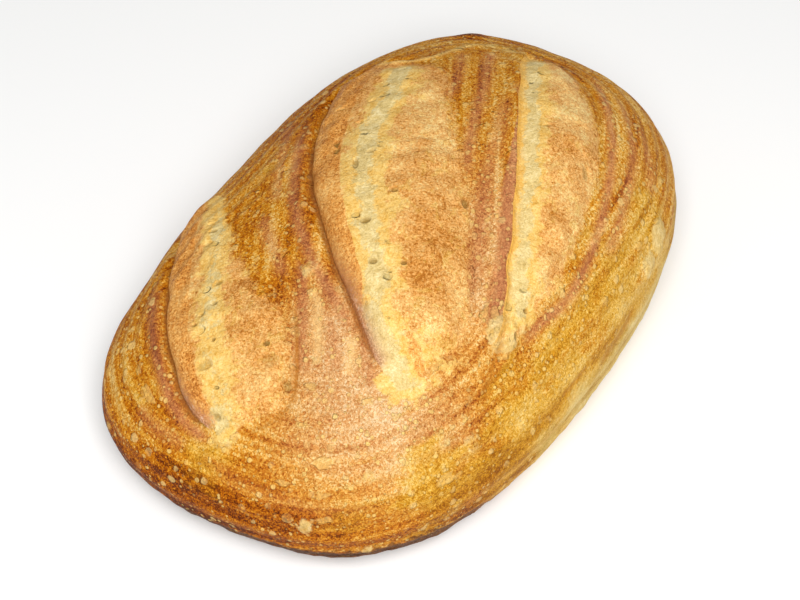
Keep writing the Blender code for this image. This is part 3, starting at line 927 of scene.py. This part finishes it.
# the blooms: pale crumb that browned where it stood out
PATCH_SIZE = 0.014
DAB_SIZE = 0.0042
STRAW_SIZE = 0.0065
ROLL_PATCHES = 0.006
EDGE_STREAKS = (0.012, 0.005, 1.0)
patches = mottle(place, PATCH_SIZE, 3.0, 0.6)
dabs = mottle(place, DAB_SIZE, 3.0, 0.7, 1.0)
browned = MEAN_BAKE + 1.2 * bake + 1.1 * (patches - 0.5) + 1.0 * (dabs - 0.5)
browned = browned + 0.6 * (fibres - 0.5) + (2.0 + 0.7 * roll) * (grain - 0.5) + 0.10 * wrinkle
bloom_colour = colours(browned, (
    (0.00, (0.99, 0.71, 0.29)), (0.22, (0.92, 0.55, 0.185)),
    (0.48, (0.83, 0.420, 0.125)), (0.74, (0.69, 0.290, 0.058)),
    (1.00, (0.45, 0.150, 0.018)),
))
straw_colour = colours(browned, (
    (0.00, (0.99, 0.78, 0.33)), (0.40, (0.88, 0.56, 0.150)),
    (1.00, (0.62, 0.30, 0.035)),
))
roll_colour = colours(browned, (
    (0.00, (0.99, 0.58, 0.19)), (0.25, (0.88, 0.43, 0.105)),
    (0.50, (0.76, 0.325, 0.068)), (0.75, (0.63, 0.225, 0.036)),
    (1.00, (0.40, 0.115, 0.012)),
))
straw = step_between(mottle(place, STRAW_SIZE, 4.0, 0.7, 0.8), 0.52, 0.62)
on_roll = step_between(roll + 0.9 * (mottle(place, ROLL_PATCHES, 4.0, 0.7) - 0.5), 0.30, 0.62)
edge_streaks = mottle(stretch(streak, EDGE_STREAKS), 1.0, 3.0, 0.65)
bloom_edge = step_between(bloom + 1.3 * (edge_streaks - 0.5), 0.20, 0.62)
bloom_colour = blend(0.55 * straw, bloom_colour, straw_colour)
bloom_colour = blend(on_roll, bloom_colour, roll_colour)
colour = blend(bloom_edge, crust_colour, bloom_colour)

# the bands that opened last: bright yellow sides and a greenish white middle with pores
YELLOW_PATCHES = 0.009
CORE_PATCHES = 0.008
crumb = MEAN_BAKE + 1.3 * (dabs - 0.5) + 0.5 * (fibres - 0.5) + 1.0 * (grain - 0.5) + 0.03 * wrinkle
yellow_colour = colours(crumb, (
    (0.00, (1.00, 0.76, 0.30)), (0.40, (0.91, 0.59, 0.165)),
    (0.70, (0.79, 0.44, 0.080)), (1.00, (0.58, 0.27, 0.030)),
))
core_colour = colours(crumb, (
    (0.00, (0.96, 0.81, 0.45)), (0.35, (0.80, 0.62, 0.275)),
    (0.65, (0.65, 0.475, 0.175)), (1.00, (0.40, 0.27, 0.075)),
))
yellow = pale + 1.5 * (mottle(place, YELLOW_PATCHES, 4.0, 0.75) - 0.5) - 0.5 * on_roll
yellow = step_between(yellow, 0.24, 0.44)
core = step_between(pale + 1.8 * (mottle(place, CORE_PATCHES, 4.0, 0.75) - 0.5), 0.62, 0.84)
colour = blend(0.85 * yellow, colour, yellow_colour)
colour = blend(0.90 * core, colour, core_colour)

# the browned faces and lips; the creases, darker with browner crust and painted shade; the folds, with
# painted shade along their creases
FACE_SPECK_AND_GLINT = (0.92, 0.68, 0.48, 1.0)
CREASE_BROWN_AND_SHADE = (0.34, 0.115, 0.024, 1.0)
LIP_YELLOW = (0.80, 0.40, 0.060, 1.0)
FOLD_CREASE_SHADE = (0.46, 0.165, 0.015, 1.0)
FOLD_CREAM = (0.88, 0.60, 0.20, 1.0)
colour = blend(0.86 * face, colour, colours(grain, (
    (0.32, (0.25, 0.085, 0.045)), (0.50, (0.54, 0.225, 0.120)),
    (0.62, (0.88, 0.560, 0.340)),
)))
# pale specks on the browned face, partly painted glints
colour = blend(0.60 * speck_and_glint * face, colour, FACE_SPECK_AND_GLINT)
# browner crust and painted shade: a dark line along each crease and on the old crust beside it
colour = blend(0.80 * step_between(mask("crease") + 0.8 * (grit - 0.5), 0.15, 0.85), colour, CREASE_BROWN_AND_SHADE)
colour = blend(0.70 * mask("lip"), colour, LIP_YELLOW)
# painted shade along the folds that sink in as creases
colour = blend(0.60 * step_between(0 - seam, 0.0, 1.0), colour, FOLD_CREASE_SHADE)
colour = blend(0.60 * step_between(seam, 0.0, 1.0), colour, FOLD_CREAM)

# small hollows of burst bubbles in the pale bands, larger and fewer ones all over the blooms, with painted
# shade: an olive tint in the pits and dark crescents in pits and holes
BUBBLE_STRETCH = (1.0, 1.4, 900.0)       # the third way hardly changes over the loaf
PIT_SPACING = 0.0052
HOLE_SPACING = 0.0098
PIT_OLIVE_SHADE = (0.60, 0.44, 0.13, 1.0)
PIT_SHADE = (0.30, 0.20, 0.050, 1.0)
HOLE_SHADE = (0.38, 0.21, 0.050, 1.0)
PAINTED_PORE_SHADE = (0.26, 0.16, 0.035, 1.0)
bubbles = jitter(stretch(streak, BUBBLE_STRETCH), 0.0030, 0.0014)
pits, pit_shade = hollows(bubbles, PIT_SPACING, 0.46)
holes, hole_shade = hollows(bubbles, HOLE_SPACING, 0.24)
in_pale = step_between(pale, 0.35, 0.80)
# painted shade: the whole pit a little darker, then a crescent on one side
colour = blend(0.35 * pits * in_pale, colour, PIT_OLIVE_SHADE)
colour = blend(0.60 * pit_shade * in_pale, colour, PIT_SHADE)
colour = blend(0.50 * hole_shade * bloom, colour, HOLE_SHADE)
# painted shade in the pores
colour = blend(0.85 * mask("pore"), colour, PAINTED_PORE_SHADE)

# the dark foot and sole, fainter on the cool side
CHAR_PATCHES = 0.0034
char = step_between(mask("foot") + 1.9 * (mottle(place, CHAR_PATCHES, 3.0, 0.75) - 0.5), 0.35, 0.85)
colour = blend(0.9 * char * (1 - 0.9 * side), colour, colours(baked, (
    (0.0, (0.50, 0.24, 0.045)), (0.4, (0.24, 0.080, 0.008)),
    (1.0, (0.06, 0.018, 0.002)),
)))

# fine relief, and the sheen of dry crust
RELIEF_DEPTH = 0.0010
SPECULAR = 0.05
ROUGHNESS = 0.50
bumps = (0.6 * speck_and_glint + 0.7 * bead_and_glint + 0.7 * fleck_and_glint) * (1 - bloom_edge) * (1 - yellow)
height = 0.7 * grain + 0.5 * grit + 0.3 * fibres * bloom + bumps
height = height - 1.2 * pits * in_pale - 1.2 * holes * bloom - 0.12 * wrinkle * (1 - pale)
relief = place.make("ShaderNodeBump", {}, {"Height": height, "Strength": 0.9, "Distance": RELIEF_DEPTH})
crust.node_tree.links.new(colour.socket, shader.inputs["Base Color"])
crust.node_tree.links.new(relief.socket, shader.inputs["Normal"])
shader.inputs["Specular IOR Level"].default_value = SPECULAR
shader.inputs["Roughness"].default_value = ROUGHNESS
loaf.data.materials.append(crust)


# --------------------------------------
# The table
# A matt, off-white table top that the loaf stands on.

TABLE_SIZE = 6.0
TABLE_DROP = 0.0002      # gap under the sole, so that the two faces don't flicker
OFF_WHITE = (0.96, 0.96, 0.95, 1.0)

bpy.ops.object.select_all(action="DESELECT")
bpy.ops.mesh.primitive_plane_add(size=TABLE_SIZE, location=(0.0, 0.0, -TABLE_DROP))
table = bpy.context.active_object
table.name = "table_top"
paint = bpy.data.materials.new("pale_table")
paint.use_nodes = True
matt = paint.node_tree.nodes["Principled BSDF"]
matt.inputs["Base Color"].default_value = OFF_WHITE
matt.inputs["Roughness"].default_value = 0.8
table.data.materials.append(paint)


# --------------------------------------
# The camera and the light
# The camera looks down at the loaf from over its near left end. One wide soft light hangs beside
# it, and pale air fills in from all round.

CAMERA_AZIMUTH = math.radians(-54.64)
CAMERA_ELEVATION = math.radians(52.0)
CAMERA_DISTANCE = 0.7614
CAMERA_TARGET = Vector((-0.0131, -0.0075, 0.045))
LENS = 85.0
KEY_AZIMUTH = math.radians(-50)
KEY_ELEVATION = math.radians(56)
KEY_DISTANCE = 1.5
KEY_SIZE = 0.8
KEY_POWER = 26.0
AIR_STRENGTH = 0.29


def look_from(azimuth, elevation):
    return Vector((math.sin(azimuth) * math.cos(elevation), -math.cos(azimuth) * math.cos(elevation),
                   math.sin(elevation)))


def aim(item, azimuth, elevation, distance):
    """Puts a camera or a light there, turned to the loaf."""
    item.location = CAMERA_TARGET + look_from(azimuth, elevation) * distance
    item.rotation_euler = (CAMERA_TARGET - item.location).to_track_quat("-Z", "Y").to_euler()


camera = bpy.data.objects.new("camera", bpy.data.cameras.new("camera"))
camera.data.lens = LENS
bpy.context.scene.collection.objects.link(camera)
aim(camera, CAMERA_AZIMUTH, CAMERA_ELEVATION, CAMERA_DISTANCE)
bpy.context.scene.camera = camera

key = bpy.data.objects.new("key", bpy.data.lights.new("key", "AREA"))
key.data.shape = "SQUARE"
key.data.size = KEY_SIZE
key.data.energy = KEY_POWER
bpy.context.scene.collection.objects.link(key)
aim(key, KEY_AZIMUTH, KEY_ELEVATION, KEY_DISTANCE)

air = bpy.data.worlds.new("pale_air")
air.use_nodes = True
air.node_tree.nodes["Background"].inputs["Color"].default_value = (1.0, 1.0, 1.0, 1.0)
air.node_tree.nodes["Background"].inputs["Strength"].default_value = AIR_STRENGTH
bpy.context.scene.world = air
bpy.context.scene.view_settings.view_transform = "Standard"
